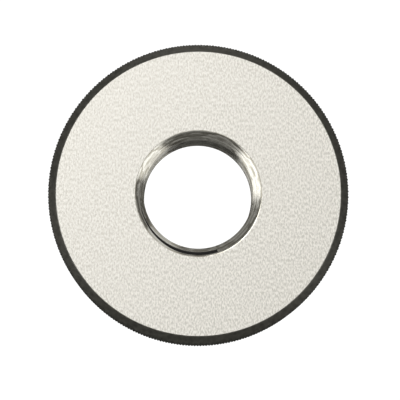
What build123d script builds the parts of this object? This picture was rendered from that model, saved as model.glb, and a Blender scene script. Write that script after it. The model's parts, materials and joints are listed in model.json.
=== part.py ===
from build123d import *

import math
import os

# Thread ring gauge, GO member: one solid ring of hardened gauge steel for a metric fine thread,
# with a diamond knurl round the rim. The bore stands at the minor diameter, which the thread's
# crests leave; the fine groove between the crests is left to the finish. Both sides are alike.
# Frame: Z is the axis of the thread. The lower face lies on Z = 0, with its centre at the origin.

# Driving dimensions, in millimetres and degrees
outer_diameter = 45.0
thickness = 14.0
rim_chamfer = 1.2
rim_chamfer_angle = 45.0
thread_diameter = 18.0
thread_pitch = 1.5
thread_angle = 60.0
countersink_overhang = 0.45
countersink_angle = 120.0
knurl_spacing = 0.884
knurl_angle = 30.0
knurl_depth = 0.28

# Metric thread form: the crests stand 5/8 of the sharp triangle's height in from the major
# diameter, so an M18 x 1.5 thread leaves a bore of 16.376 mm
thread_depth_share = 5 / 8
triangle_height = thread_pitch / 2 / math.tan(math.radians(thread_angle / 2))
major_radius = thread_diameter / 2
minor_radius = major_radius - thread_depth_share * triangle_height

# The countersink at each mouth starts the screw: it opens a little past the major diameter
countersink_radius = major_radius + countersink_overhang
countersink_slope = math.tan(math.radians(countersink_angle / 2))
countersink_depth = (countersink_radius - minor_radius) / countersink_slope

outer_radius = outer_diameter / 2
chamfer_slope = math.tan(math.radians(rim_chamfer_angle))
face_radius = outer_radius - rim_chamfer / chamfer_slope

# The knurl: a whole number of diamonds in each quarter of the rim, and half rows that run from
# the middle of the rim into both chamfers, as far as their valleys reach
quarters = 4
diamonds_round = quarters * round(math.pi * outer_diameter / knurl_spacing / quarters)
columns = 2 * diamonds_round
half_row = math.pi * outer_diameter / columns / math.tan(math.radians(knurl_angle))
valley_radius = outer_radius - knurl_depth
knurl_reach = thickness / 2 - rim_chamfer + knurl_depth * chamfer_slope
row_count = 2 * math.ceil(knurl_reach / half_row)


def half_section():
    """One side of the ring cut along its axis, as (radius, height) corners from the bore out.

    The chamfers run on past the rim, because the knurl's own solid bounds the ring there.
    """
    beyond_rim = 2 * knurl_depth
    return Polyline(
        (minor_radius, countersink_depth),
        (countersink_radius, 0),
        (face_radius, 0),
        (outer_radius + beyond_rim, rim_chamfer + beyond_rim * chamfer_slope),
        (outer_radius + beyond_rim, thickness - rim_chamfer - beyond_rim * chamfer_slope),
        (face_radius, thickness),
        (countersink_radius, thickness),
        (minor_radius, thickness - countersink_depth),
        close=True,
    )


def knurl_point(column, row):
    """A point of the knurl: a diamond's tip where column plus row is even, or else a valley."""
    radius = valley_radius if (column + row) % 2 else outer_radius
    angle = 2 * math.pi * column / columns
    height = thickness / 2 + (row - row_count / 2) * half_row
    return Vector(radius * math.cos(angle), radius * math.sin(angle), height)


def flat_face(*corners):
    """A flat face through its corners."""
    return Face(Wire.make_polygon(corners, close=True))


def knurled_bar():
    """A bar with the diamond knurl on it, longer than the ring is thick.

    Each square between four knurl points folds along its valley line. Past the last rows the bar
    goes on straight, with the last row's outline.
    """
    grid = [[knurl_point(column, row) for row in range(row_count + 1)] for column in range(columns)]
    faces = []
    for column, here in enumerate(grid):
        beside = grid[(column + 1) % columns]
        for row in range(row_count):
            low_here, low_beside = here[row], beside[row]
            high_here, high_beside = here[row + 1], beside[row + 1]
            if (column + row) % 2:
                faces.append(flat_face(low_here, low_beside, high_beside))
                faces.append(flat_face(low_here, high_beside, high_here))
            else:
                faces.append(flat_face(low_here, low_beside, high_here))
                faces.append(flat_face(low_beside, high_beside, high_here))
    for row, end_height in ((0, -half_row), (row_count, thickness + half_row)):
        outline = [points[row] for points in grid]
        end = [Vector(point.X, point.Y, end_height) for point in outline]
        for index in range(columns):
            last = index - 1
            faces.append(flat_face(outline[last], outline[index], end[index], end[last]))
        faces.append(flat_face(*end))
    return Solid(Shell(faces))


turned_blank = revolve(Plane.XZ * make_face(half_section()), Axis.Z)
gauge_ring = turned_blank & knurled_bar()

os.makedirs("parts", exist_ok=True)
export_step(gauge_ring, "parts/gauge_ring.step", write_pcurves=False)

print("minor diameter", round(2 * minor_radius, 3), "mm, countersink depth", round(countersink_depth, 3))
print("faces", round(2 * countersink_radius, 2), "to", round(2 * face_radius, 2), "mm across")
print("knurl", diamonds_round, "diamonds round,", row_count, "half rows", round(half_row, 3), "mm high")
print("steel", round(gauge_ring.volume, 1), "mm3,", len(gauge_ring.faces()), "surfaces")
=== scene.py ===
# %% [markdown]
# # A thread ring gauge in lapped and blackened steel
# A thread ring gauge is one ring of hardened steel. A screw that runs through it freely is not too
# large. The two faces and the thread are left bright, because they are ground and lapped last. The
# rim is knurled for the fingers, and it keeps the black oxide that the whole ring came out of the
# bath with.
#
# The ring is made with the tools of a toolmaker: a lathe turns the blank and leads the thread round,
# a pair of wheels rolls the knurl, and the three are then cut into one ring. Each tool's path
# follows a rule, so each is a small Geometry Nodes tree.

import json
import math

import bmesh
import bpy
import numpy as np
from mathutils import Matrix, Vector


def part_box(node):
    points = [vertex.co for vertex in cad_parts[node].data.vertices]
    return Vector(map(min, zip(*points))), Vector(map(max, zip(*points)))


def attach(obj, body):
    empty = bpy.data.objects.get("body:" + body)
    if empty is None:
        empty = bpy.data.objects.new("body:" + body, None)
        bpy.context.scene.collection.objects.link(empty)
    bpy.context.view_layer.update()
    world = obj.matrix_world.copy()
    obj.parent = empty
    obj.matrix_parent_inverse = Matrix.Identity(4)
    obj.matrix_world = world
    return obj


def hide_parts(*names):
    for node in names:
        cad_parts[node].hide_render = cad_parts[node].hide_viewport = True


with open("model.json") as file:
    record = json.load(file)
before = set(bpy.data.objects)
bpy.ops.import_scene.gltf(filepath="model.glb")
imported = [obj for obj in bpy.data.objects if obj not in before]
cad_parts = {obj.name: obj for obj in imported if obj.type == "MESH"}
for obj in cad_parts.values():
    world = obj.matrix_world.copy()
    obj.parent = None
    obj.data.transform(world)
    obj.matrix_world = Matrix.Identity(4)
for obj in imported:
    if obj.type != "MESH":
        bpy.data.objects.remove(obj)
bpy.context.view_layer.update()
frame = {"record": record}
ring_low, ring_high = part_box("gauge_ring")
print("frame loaded, ring box", [round(v, 4) for v in ring_low], [round(v, 4) for v in ring_high])

# %% [markdown]
# ## Sizes
# The outside comes from the frame. The bore's radius and the depth of the two countersinks come from
# the mount that stands for the thread. The rest are sizes that belong to this kind of gauge, in
# metres: M18 x 1.5, sixty degree flanks, and a fine diamond knurl whose count divides by four, so
# that every quarter of the rim is the same.

# %% Sizes from the frame
MM = 0.001
thread_mount = next(m for m in frame["record"]["mounts"] if m["name"] == "thread")
outer_radius = min(-ring_low[0], -ring_low[1], ring_high[0], ring_high[1])
thickness = ring_high[2] - ring_low[2]
crest_radius = thread_mount["dims"]["r_mm"] * MM
countersink_depth = (thickness - thread_mount["dims"]["length_mm"] * MM) / 2
print("outside", round(2 * outer_radius / MM, 2), "mm, bore", round(2 * crest_radius / MM, 3), "mm")

# %% Sizes of the thread and the knurl
thread_radius = 9.0 * MM
thread_pitch = 1.5 * MM
flank_slope = math.tan(math.radians(30))
print("thread M", round(2 * thread_radius / MM), "x", round(thread_pitch / MM, 2))

knurl_spacing = 0.884 * MM
knurl_helix_angle = math.radians(30)
quarters = 4
diamonds_round = quarters * round(math.tau * outer_radius / knurl_spacing / quarters)
knurl_half_row = math.pi * outer_radius / diamonds_round / math.tan(knurl_helix_angle)
print("knurl", diamonds_round, "diamonds round, half a row is", round(knurl_half_row / MM, 3), "mm")

# %% [markdown]
# ## A few words for building trees
# A node tree is a list of nodes and the links between them. These helpers add one node and join its
# inputs in one line, so that a tree in this script reads like the sum that it works out.

# %% Helpers for node trees
def add(tree, kind, inputs=(), **settings):
    """Add a node, set its options, and feed its inputs by name or number from values or sockets."""
    node = tree.nodes.new(kind)
    for option, value in settings.items():
        setattr(node, option, value)
    for key, value in dict(inputs).items():
        if isinstance(value, bpy.types.NodeSocket):
            tree.links.new(value, node.inputs[key])
        else:
            node.inputs[key].default_value = value
    return node


def sums(tree, operation, first, second=0.0):
    """One step of arithmetic on decimal numbers."""
    return add(tree, "ShaderNodeMath", {0: first, 1: second}, operation=operation).outputs[0]


def counts(tree, operation, first, second=0):
    """One step of arithmetic on whole numbers."""
    return add(tree, "FunctionNodeIntegerMath", {0: first, 1: second}, operation=operation).outputs[0]


def new_tree(name, inputs):
    """An empty Geometry Nodes tree with named inputs and one geometry output."""
    tree = bpy.data.node_groups.new(name, "GeometryNodeTree")
    for label, kind in inputs.items():
        tree.interface.new_socket(label, in_out="INPUT", socket_type="NodeSocket" + kind)
    tree.interface.new_socket("Geometry", in_out="OUTPUT", socket_type="NodeSocketGeometry")
    return tree, tree.nodes.new("NodeGroupInput").outputs, tree.nodes.new("NodeGroupOutput")


print("words for trees:", ", ".join(word.__name__ for word in (add, sums, counts, new_tree)))

# %% Helpers that run a tree
def worked_object(name, corners, tree, values):
    """An object with a tree on it, whose mesh is a section's corners: (radius, height, finish)."""
    mesh = bpy.data.meshes.new(name)
    mesh.from_pydata([(radius, height, 0) for radius, height, finish in corners], [], [])
    finish_number = mesh.attributes.new("finish", "INT", "POINT")
    finish_number.data.foreach_set("value", [finish for radius, height, finish in corners])
    piece = bpy.data.objects.new(name, mesh)
    bpy.context.scene.collection.objects.link(piece)
    modifier = piece.modifiers.new(tree.name, "NODES")
    modifier.node_group = tree
    sockets = {s.name: s.identifier for s in tree.interface.items_tree if s.in_out == "INPUT"}
    for label, value in values.items():
        modifier[sockets[label]] = value
    return piece


def measure(mesh):
    """Volume in cubic millimetres and the number of open edges."""
    shape = bmesh.new()
    shape.from_mesh(mesh)
    volume = shape.calc_volume(signed=True) / MM**3
    open_edges = sum(not edge.is_manifold for edge in shape.edges)
    shape.free()
    return round(volume, 1), open_edges


print("words for meshes:", ", ".join(word.__name__ for word in (worked_object, measure)))

# %% [markdown]
# ## Finishes
# Five finishes meet on this ring, and where each one lies follows from how it was made. A shared
# group gives metal its grain: noise drawn out along the direction of the lay. It puts out a mask
# only, and each material uses it for colour, roughness and bump in its own measure.

# %% A group for the lay of the metal
def grain_group():
    tree = bpy.data.node_groups.new("Metal Grain", "ShaderNodeTree")
    for label, kind in {"Vector": "Vector", "Scale": "Float", "Detail": "Float", "Contrast": "Float"}.items():
        tree.interface.new_socket(label, in_out="INPUT", socket_type="NodeSocket" + kind)
    tree.interface.new_socket("Mask", in_out="OUTPUT", socket_type="NodeSocketFloat")
    given = tree.nodes.new("NodeGroupInput").outputs
    result = tree.nodes.new("NodeGroupOutput")
    noise = add(tree, "ShaderNodeTexNoise", {
        "Vector": given["Vector"], "Scale": given["Scale"], "Detail": given["Detail"]})
    centred = sums(tree, "SUBTRACT", noise.outputs[0], 0.5)
    spread = sums(tree, "MULTIPLY", centred, given["Contrast"])
    mask = add(tree, "ShaderNodeMath", {0: spread, 1: 0.5}, operation="ADD", use_clamp=True)
    tree.links.new(mask.outputs[0], result.inputs[0])
    return tree


grain = grain_group()
print("grain group:", len(grain.nodes), "nodes")

# %% Helpers for materials
def new_material(name):
    """A material with one Principled shader, its tree and its Object coordinates."""
    material = bpy.data.materials.new(name)
    material.use_nodes = True
    tree = material.node_tree
    shader = tree.nodes["Principled BSDF"]
    place = add(tree, "ShaderNodeTexCoord").outputs["Object"]
    return material, tree, shader, place


def grain_mask(tree, place, scale, detail, contrast):
    """A grain mask between 0 and 1."""
    group = add(tree, "ShaderNodeGroup", node_tree=grain)
    tree.links.new(place, group.inputs["Vector"])
    for label, value in {"Scale": scale, "Detail": detail, "Contrast": contrast}.items():
        group.inputs[label].default_value = value
    return group.outputs[0]


def blend_colours(tree, mask, dark, light):
    """The colour between two, by a mask."""
    mix = add(tree, "ShaderNodeMix", {0: mask, 6: (*dark, 1), 7: (*light, 1)}, data_type="RGBA")
    return mix.outputs[2]


def between(tree, mask, low, high):
    """The number between two, by a mask."""
    return add(tree, "ShaderNodeMapRange", {"Value": mask, "To Min": low, "To Max": high}).outputs[0]


def axis_distance(tree, place):
    """Distance from the axis of the ring."""
    flat = add(tree, "ShaderNodeVectorMath", {0: place, 1: (1, 1, 0)}, operation="MULTIPLY").outputs[0]
    return add(tree, "ShaderNodeVectorMath", {0: flat}, operation="LENGTH").outputs["Value"]


def raised(tree, shader, mask, strength, depth):
    """Let a mask stand up from the surface a little."""
    bump = add(tree, "ShaderNodeBump", {"Height": mask, "Strength": strength, "Distance": depth})
    tree.links.new(bump.outputs[0], shader.inputs["Normal"])


print("words for materials:", ", ".join(
    word.__name__ for word in (new_material, grain_mask, blend_colours, between, axis_distance, raised)))

# %% [markdown]
# ### Lapped faces
# The faces are ground and then lapped on a plate. What is left is a pale, slightly warm grey with a
# fine grain whose marks lie one way. A painted texture could show it, but noise needs no seam and
# stays sharp at any distance. The grain changes the colour, the roughness and the height, all of
# them only a little.

# %% Lapped faces
lapped_dark = (0.57, 0.555, 0.508)
lapped_light = (0.89, 0.87, 0.818)
lap_direction = (1.0, 0.5, 1.0)


def lapped_material():
    material, tree, shader, place = new_material("lapped_face")
    drawn_out = add(tree, "ShaderNodeMapping", {"Vector": place, "Scale": lap_direction}).outputs[0]
    fine = grain_mask(tree, drawn_out, scale=4500, detail=3.0, contrast=4.6)
    shader.inputs["Metallic"].default_value = 1.0
    tree.links.new(blend_colours(tree, fine, lapped_dark, lapped_light), shader.inputs["Base Color"])
    tree.links.new(between(tree, fine, low=0.38, high=0.50), shader.inputs["Roughness"])
    raised(tree, shader, fine, strength=0.25, depth=0.02 * MM)
    return material


lapped = lapped_material()
print("made", lapped.name)

# %% [markdown]
# ### Turned countersinks and thread
# The countersinks, the thread's flanks and its crests are bright too, but they were cut by a tool
# that went round, so their marks are rings about the axis, broken here and there. Anisotropic
# shading could draw the light out round the axis, but it would show no single mark. So the grain is
# read by the distance from the axis and the height, and slow noise breaks the rings. Further from
# the mouths the colour is painted darker, as painted shade for the little light that reaches deep
# into the bore.

# %% Turned steel
turned_dark = (0.44, 0.415, 0.345)
turned_light = (0.95, 0.93, 0.85)
ring_break_length = 2 * MM
# Painted shade in the bore: full colour up to the first depth from a face, down to the share at the second.
unshaded_depth = 0.4 * MM
full_shade_depth = 4 * MM
shaded_share = 0.55


def turned_material():
    material, tree, shader, place = new_material("turned_steel")
    ring = axis_distance(tree, place)
    height = add(tree, "ShaderNodeSeparateXYZ", {0: place}).outputs[2]
    slow = grain_mask(tree, place, scale=260, detail=2.0, contrast=1.0)
    breaks = sums(tree, "MULTIPLY", slow, ring_break_length)
    lay = add(tree, "ShaderNodeCombineXYZ", {0: ring, 1: height, 2: breaks}).outputs[0]
    marks = grain_mask(tree, lay, scale=3600, detail=3.0, contrast=4.5)
    # Painted shade: the steel's colour is darkened with depth from the nearer face, where little light
    # reaches into the bore.
    from_middle = sums(tree, "ABSOLUTE", sums(tree, "SUBTRACT", height, thickness / 2))
    depth = sums(tree, "SUBTRACT", thickness / 2, from_middle)
    painted_bore_shade = add(tree, "ShaderNodeMapRange", {
        "Value": depth, "From Min": unshaded_depth, "From Max": full_shade_depth,
        "To Min": 1.0, "To Max": shaded_share}).outputs[0]
    shader.inputs["Metallic"].default_value = 1.0
    colour = blend_colours(tree, marks, turned_dark, turned_light)
    shaded_colour = add(tree, "ShaderNodeVectorMath", {0: colour, "Scale": painted_bore_shade}, operation="SCALE").outputs[0]
    tree.links.new(shaded_colour, shader.inputs["Base Color"])
    tree.links.new(between(tree, marks, low=0.14, high=0.24), shader.inputs["Roughness"])
    raised(tree, shader, marks, strength=0.3, depth=0.01 * MM)
    return material


turned = turned_material()
print("made", turned.name)

# %% [markdown]
# ### Black oxide
# The bath turns the steel's own surface into a thin black skin. It is nearly neutral, a touch warm,
# and it still has the metal's sheen, which black paint would not have. So it is a dark surface that
# is partly metallic, with a fine mottle. Fingers rub it off the highest tips of the knurl first.
# In the relief at the root of the thread the oxide stays, and there it is painted far darker and
# duller, as painted shade of the deep narrow slot. The three differ in their numbers only, so one
# function makes them all.

# %% Black oxide
def oxide_material(name, dark, light, low, high):
    material, tree, shader, place = new_material(name)
    mottle = grain_mask(tree, place, scale=1500, detail=3.0, contrast=2.0)
    shader.inputs["Metallic"].default_value = 0.6
    tree.links.new(blend_colours(tree, mottle, dark, light), shader.inputs["Base Color"])
    tree.links.new(between(tree, mottle, low, high), shader.inputs["Roughness"])
    raised(tree, shader, mottle, strength=0.2, depth=0.01 * MM)
    return material


oxide = oxide_material(
    "black_oxide", dark=(0.079, 0.077, 0.066), light=(0.148, 0.143, 0.124), low=0.36, high=0.50)
rubbed = oxide_material(
    "rubbed_crest", dark=(0.15, 0.145, 0.13), light=(0.42, 0.405, 0.37), low=0.28, high=0.42)
# The relief keeps real oxide, painted far darker and duller than the rim's as painted shade of the deep
# narrow slot.
relief = oxide_material(
    "relief_oxide_and_painted_shade", dark=(0.010, 0.010, 0.009), light=(0.018, 0.017, 0.016), low=0.55, high=0.70)
print("made", oxide.name, rubbed.name, relief.name)

# %% [markdown]
# ## One tree for the lathe
# Turning a blank and cutting a thread are the same motion. A section goes round the axis, and for a
# thread it also climbs one pitch each turn. A Screw modifier could sweep it, but it would leave the
# finishes to be put on later. So one tree does both: it lays a grid of points, and places each by a
# rule. The column gives the angle, the row gives the corner of the section, and the lead lifts it.
# With pointed ends, the first and last columns draw in to the middle of the section, which closes a
# groove that stops in the open air. Each facet keeps the number of its finish, and the last steps
# of the tree turn that number into a material.

# %% The lathe tree
finishes = (turned, relief, lapped, oxide)
TURNED, RELIEF, LAPPED, OXIDE = range(len(finishes))
weld = 1e-5 * MM


def lathe_tree():
    tree, given, result = new_tree("Turn a Section", {
        "Section": "Geometry", "Steps per Turn": "Int", "Turns": "Float",
        "Lead": "Float", "Start Angle": "Float", "Pointed Ends": "Int",
    })
    ends = given["Pointed Ends"]
    corner_count = add(tree, "GeometryNodeAttributeDomainSize", {0: given["Section"]}).outputs[0]
    steps = sums(tree, "MULTIPLY", given["Steps per Turn"], given["Turns"])
    last_step = add(tree, "FunctionNodeFloatToInt", {0: steps}).outputs[0]
    columns = counts(tree, "ADD", counts(tree, "ADD", last_step, 1), counts(tree, "MULTIPLY", ends, 2))
    rows = counts(tree, "ADD", corner_count, 1)
    grid = add(tree, "GeometryNodeMeshGrid", {"Vertices X": columns, "Vertices Y": rows})

    index = add(tree, "GeometryNodeInputIndex").outputs[0]
    position = add(tree, "GeometryNodeInputPosition").outputs[0]
    column = counts(tree, "SUBTRACT", counts(tree, "DIVIDE_FLOOR", index, rows), ends)
    corner = counts(tree, "MODULO", counts(tree, "MODULO", index, rows), corner_count)
    step = counts(tree, "MINIMUM", counts(tree, "MAXIMUM", column, 0), last_step)
    at_corner = add(tree, "GeometryNodeSampleIndex",
                    {"Geometry": given["Section"], "Index": corner}, data_type="FLOAT_VECTOR")
    tree.links.new(position, at_corner.inputs["Value"])
    middle = add(tree, "GeometryNodeAttributeStatistic", {0: given["Section"]}, data_type="FLOAT_VECTOR")
    tree.links.new(position, next(s for s in middle.inputs if s.name == "Attribute" and s.enabled))
    mean = next(s for s in middle.outputs if s.name == "Mean" and s.enabled)
    past_end = add(tree, "FunctionNodeCompare", {2: column, 3: step}, data_type="INT", operation="NOT_EQUAL")
    point = add(tree, "GeometryNodeSwitch", input_type="VECTOR", inputs={
        "Switch": past_end.outputs[0], "False": at_corner.outputs["Value"], "True": mean})
    section = add(tree, "ShaderNodeSeparateXYZ", {0: point.outputs[0]}).outputs

    turn = sums(tree, "DIVIDE", step, given["Steps per Turn"])
    angle = sums(tree, "ADD", sums(tree, "MULTIPLY", turn, math.tau), given["Start Angle"])
    place = add(tree, "ShaderNodeCombineXYZ", {
        0: sums(tree, "MULTIPLY", section[0], sums(tree, "COSINE", angle)),
        1: sums(tree, "MULTIPLY", section[0], sums(tree, "SINE", angle)),
        2: sums(tree, "ADD", section[1], sums(tree, "MULTIPLY", turn, given["Lead"]))}).outputs[0]
    swept = add(tree, "GeometryNodeSetPosition", {"Geometry": grid.outputs["Mesh"], "Position": place})

    finish = add(tree, "GeometryNodeInputNamedAttribute", {"Name": "finish"}, data_type="INT").outputs[0]
    facet_edge = counts(tree, "MODULO", index, corner_count)
    at_edge = add(tree, "GeometryNodeSampleIndex",
                  {"Geometry": given["Section"], "Index": facet_edge}, data_type="INT")
    tree.links.new(finish, at_edge.inputs["Value"])
    marked = add(tree, "GeometryNodeStoreNamedAttribute", {
        "Geometry": swept.outputs[0], "Name": "finish", "Value": at_edge.outputs["Value"]},
        data_type="INT", domain="FACE")
    closed = add(tree, "GeometryNodeMergeByDistance", {"Geometry": marked.outputs[0], "Distance": weld})
    body = add(tree, "GeometryNodeRealizeInstances", {0: closed.outputs[0]}).outputs[0]
    for number, metal in enumerate(finishes):
        chosen = add(tree, "FunctionNodeCompare", {2: finish, 3: number}, data_type="INT", operation="EQUAL")
        body = add(tree, "GeometryNodeSetMaterial", {
            "Geometry": body, "Selection": chosen.outputs[0], "Material": metal}).outputs[0]
    tree.links.new(body, result.inputs[0])
    return tree


lathe = lathe_tree()
print("lathe tree:", len(lathe.nodes), "nodes")

# %% [markdown]
# ## The blank
# The section has the bore, a countersink at each mouth, the two ground faces and the chamfers at
# the rim. Where a face meets a slope, the sharp edge is broken, so a narrow facet stands there at
# half the slope. At the countersinks a stone did it last, and the facet catches the light as a thin
# bright ring. At the rim it was there before the bath, and it is black.

# %% The blank's section
countersink_half_angle = math.radians(60)
countersink_radius = crest_radius + countersink_depth * math.tan(countersink_half_angle)
rim_chamfer = 1.2 * MM
countersink_break = 0.10 * MM
rim_break = 0.16 * MM


def blank_section():
    """Corners of the blank's section, out from the bore below and back in above."""
    half_break = countersink_break / 2
    face_radius = outer_radius - rim_chamfer
    corners = [
        (crest_radius, countersink_depth),
        (countersink_radius - half_break, half_break / math.tan(countersink_half_angle)),
        (countersink_radius + half_break, 0),
        (face_radius - rim_break / 2, 0),
        (face_radius + rim_break / 2, rim_break / 2),
        (outer_radius, rim_chamfer),
    ]
    edges = [TURNED, TURNED, LAPPED, OXIDE, OXIDE]
    lower = [(*corner, finish) for corner, finish in zip(corners, edges + [OXIDE])]
    mirrored = [(radius, thickness - height) for radius, height in reversed(corners)]
    upper = [(*corner, finish) for corner, finish in zip(mirrored, edges[::-1] + [TURNED])]
    return lower + upper


blank_steps = 4 * diamonds_round
blank = worked_object("blank", blank_section(), lathe, {
    "Steps per Turn": blank_steps, "Turns": 1.0, "Lead": 0.0, "Start Angle": 0.0, "Pointed Ends": 0})
print("blank:", len(blank_section()), "corners,", blank_steps, "steps round")
print("countersink", round(2 * countersink_radius / MM, 2), "mm across")

# %% [markdown]
# ## The thread groove
# The groove is a sixty degree V whose flanks stop at a narrow square relief. The relief keeps grit
# and the screw's own crest off the root, and the lap never reaches it, so its oxide stays. Its colour
# is painted darker than the rim's oxide too, as painted shade of the deep narrow slot. The groove
# starts a pitch below the ring, so that the lower mouth is cut right through. Its other end
# stops bluntly in the upper countersink, where the thin start of the first thread is cleared away:
# it would reach the face at one angle, and it stops short of that by another.

# %% The groove's section
relief_width = 0.488 * MM
relief_radius = 9.2 * MM
root_flat = thread_pitch / 8
mouth_radius = crest_radius - 0.1 * MM
flank_end_radius = thread_radius - (relief_width - root_flat) / 2 / flank_slope


def groove_half_width(radius):
    """Half the groove's width along the axis between its flanks, at a radius."""
    return root_flat / 2 + flank_slope * (thread_radius - radius)


def groove_section():
    """Corners of the groove's section, a pitch below the ring."""
    side = [
        (mouth_radius, groove_half_width(mouth_radius)),
        (flank_end_radius, relief_width / 2),
        (relief_radius, relief_width / 2),
    ]
    corners = [(radius, -height) for radius, height in side] + side[::-1]
    edges = [TURNED, RELIEF, RELIEF, RELIEF, TURNED, TURNED]
    return [(radius, height - thread_pitch, finish) for (radius, height), finish in zip(corners, edges)]


print("groove: flanks end", round(flank_end_radius / MM, 3), "mm from the axis")

# %% The groove's path
groove_steps = 300
at_face_angle = math.radians(-20)
short_of_face = math.radians(52)
turns_to_face = (thickness + thread_pitch) / thread_pitch
groove_turns = turns_to_face - short_of_face / math.tau
groove = worked_object("groove", groove_section(), lathe, {
    "Steps per Turn": groove_steps, "Turns": groove_turns, "Lead": thread_pitch,
    "Start Angle": at_face_angle - math.tau * turns_to_face, "Pointed Ends": 1})
print("groove:", round(groove_turns, 1), "turns")

# %% [markdown]
# ## The knurl
# A diamond knurl is two families of grooves that cross. Between them stand small pyramids. A
# boolean could cut each groove, but there are hundreds, and the pattern has a simpler rule. On a
# grid whose points are the crossings and the pyramid tops by turns, like the squares of a
# chessboard, a point's height needs one question: is column plus row even? Each square then folds
# along its shorter diagonal, which is the groove. The pyramids stand a little higher than the rim,
# so the blank's own cylinder trims their tips to small flats.

# %% The knurl tree
def knurl_tree():
    tree, given, result = new_tree("Knurled Log", {
        "Geometry": "Geometry", "Diamonds Round": "Int", "Half Rows": "Int", "Half Row Height": "Float",
        "Valley Radius": "Float", "Tip Radius": "Float", "Middle Height": "Float",
    })
    around = counts(tree, "MULTIPLY", given["Diamonds Round"], 2)
    row_count = counts(tree, "MULTIPLY", given["Half Rows"], 2)
    rows = counts(tree, "ADD", row_count, 3)
    columns = counts(tree, "ADD", around, 1)
    grid = add(tree, "GeometryNodeMeshGrid", {"Vertices X": columns, "Vertices Y": rows})

    index = add(tree, "GeometryNodeInputIndex").outputs[0]
    column = counts(tree, "DIVIDE_FLOOR", index, rows)
    level = counts(tree, "SUBTRACT", counts(tree, "MODULO", index, rows), 1)
    row = counts(tree, "MINIMUM", counts(tree, "MAXIMUM", level, 0), row_count)
    from_middle = counts(tree, "SUBTRACT", row, given["Half Rows"])
    odd = counts(tree, "FLOORED_MODULO", counts(tree, "ADD", column, from_middle), 2)
    drop = sums(tree, "SUBTRACT", given["Tip Radius"], given["Valley Radius"])
    wall = sums(tree, "SUBTRACT", given["Tip Radius"], sums(tree, "MULTIPLY", odd, drop))
    on_wall = add(tree, "FunctionNodeCompare", {2: level, 3: row}, data_type="INT", operation="EQUAL")
    radius = sums(tree, "MULTIPLY", wall, on_wall.outputs[0])
    angle = sums(tree, "MULTIPLY", sums(tree, "DIVIDE", column, around), math.tau)
    place = add(tree, "ShaderNodeCombineXYZ", {
        0: sums(tree, "MULTIPLY", radius, sums(tree, "COSINE", angle)),
        1: sums(tree, "MULTIPLY", radius, sums(tree, "SINE", angle)),
        2: sums(tree, "ADD", given["Middle Height"],
                sums(tree, "MULTIPLY", from_middle, given["Half Row Height"]))}).outputs[0]
    rolled = add(tree, "GeometryNodeSetPosition", {"Geometry": grid.outputs["Mesh"], "Position": place})
    closed = add(tree, "GeometryNodeMergeByDistance", {"Geometry": rolled.outputs[0], "Distance": weld})
    folded = add(tree, "GeometryNodeTriangulate", {0: closed.outputs[0]}, quad_method="SHORTEST_DIAGONAL")
    real = add(tree, "GeometryNodeRealizeInstances", {0: folded.outputs[0]})
    blackened = add(tree, "GeometryNodeSetMaterial", {"Geometry": real.outputs[0], "Material": oxide})
    tree.links.new(blackened.outputs[0], result.inputs[0])
    return tree


knurl_depth = 0.28 * MM
tips_above_rim = 0.05 * MM
knurl_half_rows = math.ceil(thickness / 2 / knurl_half_row) + 1
knurled_log = worked_object("knurled_log", [(0, 0, 0)], knurl_tree(), {
    "Diamonds Round": diamonds_round, "Half Rows": knurl_half_rows, "Half Row Height": knurl_half_row,
    "Valley Radius": outer_radius - knurl_depth, "Tip Radius": outer_radius + tips_above_rim,
    "Middle Height": thickness / 2})
print("knurl:", diamonds_round, "diamonds round,", 2 * knurl_half_rows, "half rows")

# %% [markdown]
# ## Cut the ring
# Two exact booleans do the machining: keep what the blank and the knurled log share, then take the
# groove away. A boolean keeps the finish of the solid that each facet comes from, so the groove
# leaves bright flanks and a black relief in whatever it cuts. Last, the trimmed tips of the knurl
# are found by their distance from the axis, and rubbed a little brighter.

# %% The cutting tree
def cutting_tree():
    tree, given, result = new_tree("Machine the Ring", {
        "Geometry": "Geometry", "Blank": "Object", "Knurled Log": "Object", "Groove": "Object",
        "Rubbed Radius": "Float"})
    solid = {
        label: add(tree, "GeometryNodeObjectInfo", {0: given[label]}).outputs["Geometry"]
        for label in ("Blank", "Knurled Log", "Groove")
    }
    knurled = add(tree, "GeometryNodeMeshBoolean", operation="INTERSECT", solver="EXACT")
    tree.links.new(solid["Blank"], knurled.inputs["Mesh 2"])
    tree.links.new(solid["Knurled Log"], knurled.inputs["Mesh 2"])
    threaded = add(tree, "GeometryNodeMeshBoolean", {"Mesh 1": knurled.outputs[0]},
                   operation="DIFFERENCE", solver="EXACT")
    tree.links.new(solid["Groove"], threaded.inputs["Mesh 2"])
    welded = add(tree, "GeometryNodeMergeByDistance", {"Geometry": threaded.outputs[0], "Distance": weld})
    real = add(tree, "GeometryNodeRealizeInstances", {0: welded.outputs[0]})
    position = add(tree, "GeometryNodeInputPosition").outputs[0]
    on_rim = add(tree, "FunctionNodeCompare", {0: axis_distance(tree, position), 1: given["Rubbed Radius"]},
                 operation="GREATER_THAN")
    tips = add(tree, "GeometryNodeSetMaterial", {
        "Geometry": real.outputs[0], "Selection": on_rim.outputs[0], "Material": rubbed})
    tree.links.new(tips.outputs[0], result.inputs[0])
    return tree


trim_tolerance = 0.002 * MM
ring = worked_object("thread_ring", [(0, 0, 0)], cutting_tree(), {
    "Blank": blank, "Knurled Log": knurled_log, "Groove": groove,
    "Rubbed Radius": outer_radius - trim_tolerance})
depsgraph = bpy.context.evaluated_depsgraph_get()
ring_mesh = bpy.data.meshes.new_from_object(ring.evaluated_get(depsgraph))
ring.modifiers.clear()
ring.data = ring_mesh
for tool in (blank, knurled_log, groove):
    bpy.data.objects.remove(tool)
volume, open_edges = measure(ring_mesh)
print("ring:", len(ring_mesh.polygons), "facets,", volume, "mm3,", open_edges, "open edges")
print("finishes:", [m.name for m in ring_mesh.materials])

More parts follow.
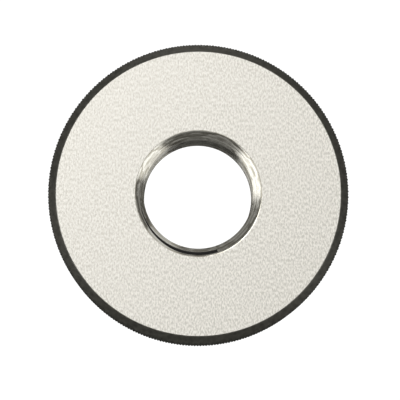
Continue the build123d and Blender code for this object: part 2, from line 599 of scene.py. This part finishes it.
# %% [markdown]
# ## True normals
# The booleans leave long thin facets, and averaged normals would shade them in streaks. But every
# surface here has a known normal: level faces, cones, cylinders and the two flanks of a screw. Each
# facet is matched to the surface that it lies on, and its corners take that surface's own normal.
# The pyramids of the knurl are flat, so theirs is the facet's own.

# %% The surfaces that meet on the ring
upright = math.radians(90)
chamfer_angle = math.radians(45)
rim_break_angle = (chamfer_angle + upright) / 2
countersink_break_angle = (countersink_half_angle + upright) / 2
too_small = 1e-12


def unit(vectors):
    """Vectors of length one, row by row."""
    return vectors / np.linalg.norm(vectors, axis=1, keepdims=True)


def slope(out, up, angle):
    """Normals of a cone that faces this much above the outward direction."""
    return math.cos(angle) * out + math.sin(angle) * up


def known_normals(points):
    """For each point, the normal of every kind of surface that could pass through it."""
    around = np.hypot(points[:, 0], points[:, 1])[:, None] + too_small
    out = np.column_stack([points[:, 0], points[:, 1], np.zeros(len(points))]) / around
    along = np.column_stack([-out[:, 1], out[:, 0], np.zeros(len(points))])
    up = np.zeros_like(out)
    up[:, 2] = 1
    climb = up - along * (thread_pitch / math.tau) / around
    kinds = [up, -up, out, -out, climb, -climb, climb - flank_slope * out, -climb - flank_slope * out]
    for side in (up, -up):
        kinds += [slope(-out, side, angle) for angle in (countersink_half_angle, countersink_break_angle)]
        kinds += [slope(out, side, angle) for angle in (chamfer_angle, rim_break_angle)]
    return np.stack([unit(kind) for kind in kinds])


print("kinds of surface:", len(known_normals(np.array([[outer_radius, 0, 0]]))))

# %% Set the normals by rule
close_enough = 0.9995


def per_element(collection, name, width, kind=float):
    """One value or vector of each element, as an array."""
    values = np.empty(len(collection) * width, dtype=kind)
    collection.foreach_get(name, values)
    return values.reshape(-1, width) if width > 1 else values


def set_true_normals(mesh):
    """Give each corner the normal of the surface that its facet lies on."""
    points = per_element(mesh.vertices, "co", 3)
    facet_normals = per_element(mesh.polygons, "normal", 3)
    centres = per_element(mesh.polygons, "center", 3)
    sizes = per_element(mesh.polygons, "loop_total", 1, int)
    corner_point = per_element(mesh.loops, "vertex_index", 1, int)

    match = np.einsum("kij,ij->ki", known_normals(centres), facet_normals)
    kind = match.argmax(axis=0)
    found = match.max(axis=0) > close_enough
    corner_facet = np.repeat(np.arange(len(sizes)), sizes)
    at_corners = known_normals(points[corner_point])
    normals = at_corners[kind[corner_facet], np.arange(len(corner_point))]
    plain = ~found[corner_facet]
    normals[plain] = facet_normals[corner_facet][plain]
    mesh.shade_smooth()
    mesh.normals_split_custom_set(normals.tolist())
    return round(100 * found.mean())


print("facets on a known surface:", set_true_normals(ring_mesh), "%")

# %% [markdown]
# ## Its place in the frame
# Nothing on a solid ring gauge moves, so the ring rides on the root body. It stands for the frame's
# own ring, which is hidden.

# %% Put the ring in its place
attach(ring, "root")
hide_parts("gauge_ring")
print("ring stands for", "gauge_ring")

# %% [markdown]
# ## The stage
# The ring lies on a plain white table under a pale ceiling. A broad soft panel hangs above it, a
# little to the far left, and the lapped faces mirror both. The countersink slopes thirty degrees, so
# each part of it mirrors what stands across the ring at thirty degrees above the table: a tall panel
# on the left, another on the right, a dim one behind, and grey walls between them. A low panel at
# the far side is there for the dark rim, which mirrors what stands near the level of the table.

# %% The table
white = (1, 1, 1, 1)
white_strength = 1.1
table_grey = (0.14, 0.14, 0.135, 1)
table_half = 3.0
table_gap = 0.02 * MM


def camera_white(tree, seen, other):
    """One shader for what is looked at directly and another for what is mirrored or lit by it."""
    path = add(tree, "ShaderNodeLightPath")
    mix = add(tree, "ShaderNodeMixShader", {0: path.outputs["Is Camera Ray"]})
    tree.links.new(other.outputs[0], mix.inputs[1])
    tree.links.new(seen.outputs[0], mix.inputs[2])
    return mix.outputs[0]


def table_material():
    material = bpy.data.materials.new("table_white")
    material.use_nodes = True
    tree = material.node_tree
    tree.nodes.remove(tree.nodes["Principled BSDF"])
    seen = add(tree, "ShaderNodeEmission", {"Color": white, "Strength": white_strength})
    other = add(tree, "ShaderNodeBsdfDiffuse", {"Color": table_grey})
    tree.links.new(camera_white(tree, seen, other), tree.nodes["Material Output"].inputs["Surface"])
    return material


table_mesh = bpy.data.meshes.new("table")
corner_signs = ((-1, -1), (1, -1), (1, 1), (-1, 1))
table_corners = [(x * table_half, y * table_half, -table_gap) for x, y in corner_signs]
table_mesh.from_pydata(table_corners, [], [(0, 1, 2, 3)])
table_mesh.materials.append(table_material())
table = bpy.data.objects.new("table", table_mesh)
bpy.context.scene.collection.objects.link(table)
print("table", 2 * table_half, "m wide")

# %% The room
near_wall, far_wall = 0.10, 0.20
ceiling_light = 0.50
ceiling_starts, ceiling_is_full = 0.60, 0.80
room_colour = (1, 0.99, 0.96, 1)


def room_world():
    """A white room for the camera, and for the ring grey walls under a pale ceiling."""
    world = bpy.data.worlds.new("room")
    world.use_nodes = True
    tree = world.node_tree
    tree.nodes.remove(tree.nodes["Background"])
    seen = add(tree, "ShaderNodeBackground", {"Color": white, "Strength": white_strength})
    direction = add(tree, "ShaderNodeTexCoord").outputs["Generated"]
    facing = add(tree, "ShaderNodeSeparateXYZ", {0: direction}).outputs
    walls = add(tree, "ShaderNodeMapRange", {
        "Value": facing[1], "From Min": -1.0, "To Min": near_wall, "To Max": far_wall}).outputs[0]
    ceiling = add(tree, "ShaderNodeMapRange", {
        "Value": facing[2], "From Min": ceiling_starts, "From Max": ceiling_is_full,
        "To Max": ceiling_light}).outputs[0]
    light = sums(tree, "ADD", walls, ceiling)
    other = add(tree, "ShaderNodeBackground", {"Color": room_colour, "Strength": light})
    tree.links.new(camera_white(tree, seen, other), tree.nodes["World Output"].inputs["Surface"])
    return world


bpy.context.scene.world = room_world()
print("room:", bpy.context.scene.world.name)

# %% Soft panels
ring_top = (0, 0, thickness)


def beside(bearing, distance, height):
    """A place round the table, by its bearing in degrees from the right, anticlockwise from above."""
    angle = math.radians(bearing)
    return (distance * math.cos(angle), distance * math.sin(angle), height)


def panel(name, place, width, height, power):
    """A soft rectangular light that looks at the ring."""
    light = bpy.data.lights.new(name, "AREA")
    light.shape = "RECTANGLE"
    light.size = width
    light.size_y = height
    light.energy = power
    lamp = bpy.data.objects.new(name, light)
    bpy.context.scene.collection.objects.link(lamp)
    lamp.location = place
    lamp.rotation_euler = (Vector(ring_top) - Vector(place)).to_track_quat("-Z", "Y").to_euler()
    return lamp


panels = [
    panel("overhead_panel", (-0.21, 0.25, 0.88), width=0.45, height=0.45, power=1.55),
    panel("left_panel", beside(195, 0.5, 0.32), width=0.44, height=0.36, power=0.60),
    panel("right_panel", beside(-29, 0.5, 0.29), width=0.34, height=0.42, power=0.46),
    panel("back_panel", beside(56, 0.6, 0.34), width=0.36, height=0.3, power=0.13),
    panel("far_panel", beside(92, 0.8, 0.10), width=0.6, height=0.14, power=0.50),
]
print("lights:", [lamp.name for lamp in panels])

# %% [markdown]
# ## The camera
# The camera looks almost straight down from 0.44 m through a long lens, leaning four degrees to the
# near side. So the far wall of the bore shows its thread, and the near rim shows its knurl.

# %% The camera
camera_distance = 0.444
camera_lean = math.radians(-4.10)
camera_roll = math.radians(0.60)
pixels_per_metre = 6712
picture_width = 400
sensor_width = 36
face_centre = (198.45, 193.40)

camera_data = bpy.data.cameras.new("camera")
camera = bpy.data.objects.new("camera", camera_data)
bpy.context.scene.collection.objects.link(camera)
bpy.context.scene.camera = camera
turned_view = (Matrix.Rotation(camera_lean, 3, "X") @ Matrix.Rotation(camera_roll, 3, "Y")).transposed()
camera.matrix_world = Matrix.Translation(
    turned_view @ Vector((0, 0, camera_distance)) + Vector(ring_top)) @ turned_view.to_4x4()
camera_data.sensor_width = sensor_width
camera_data.lens = pixels_per_metre * camera_distance * sensor_width / picture_width
camera_data.shift_x = 0.5 - face_centre[0] / picture_width
camera_data.shift_y = face_centre[1] / picture_width - 0.5
camera_data.clip_start = 0.01
print("lens", round(camera_data.lens, 1), "mm")

# %% [markdown]
# ## Plain colours
# The Standard view keeps a white table white. The filmic views would turn it grey.

# %% Plain colours
bpy.context.scene.view_settings.view_transform = "Standard"
bpy.context.scene.view_settings.look = "None"
print("view:", bpy.context.scene.view_settings.view_transform)
